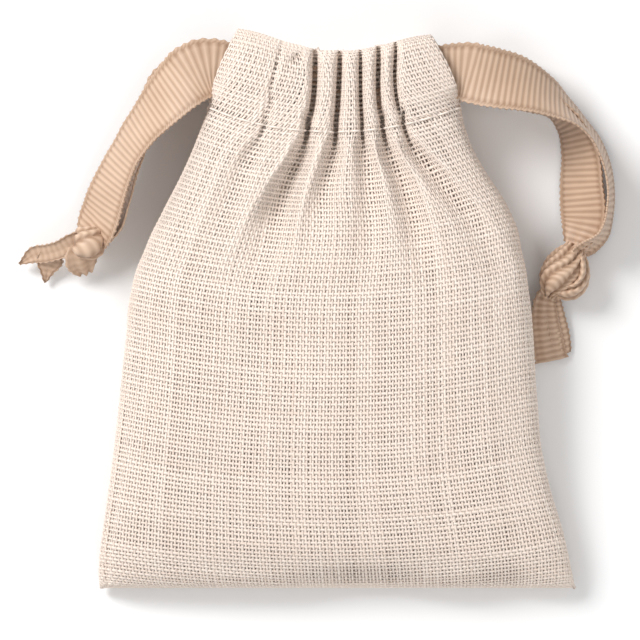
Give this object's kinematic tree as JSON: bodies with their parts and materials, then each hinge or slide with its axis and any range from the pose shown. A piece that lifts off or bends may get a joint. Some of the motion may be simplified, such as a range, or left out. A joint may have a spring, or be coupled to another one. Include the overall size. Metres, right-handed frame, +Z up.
{
  "type": "linen drawstring pouch",
  "caption": "Small open-weave linen pouch with a gathered ribbon channel and knotted grosgrain drawstrings, lying on its back.",
  "frame": {"origin": "middle of the bounding box, on the surface that the pouch lies on", "axes": "+X to the pouch's right across its width, +Y from the bottom fold toward the mouth, +Z up out of its face"},
  "size_m": [0.1, 0.0938, 0.0183],
  "materials": {
    "linen": "open plain weave, unbleached cream",
    "grosgrain": "ribbed, beige, soft sheen"
  },
  "bodies": {
    "root": {"pouch_cloth": "linen", "ribbon_left": "grosgrain", "ribbon_right": "grosgrain"}
  },
  "joints": []
}
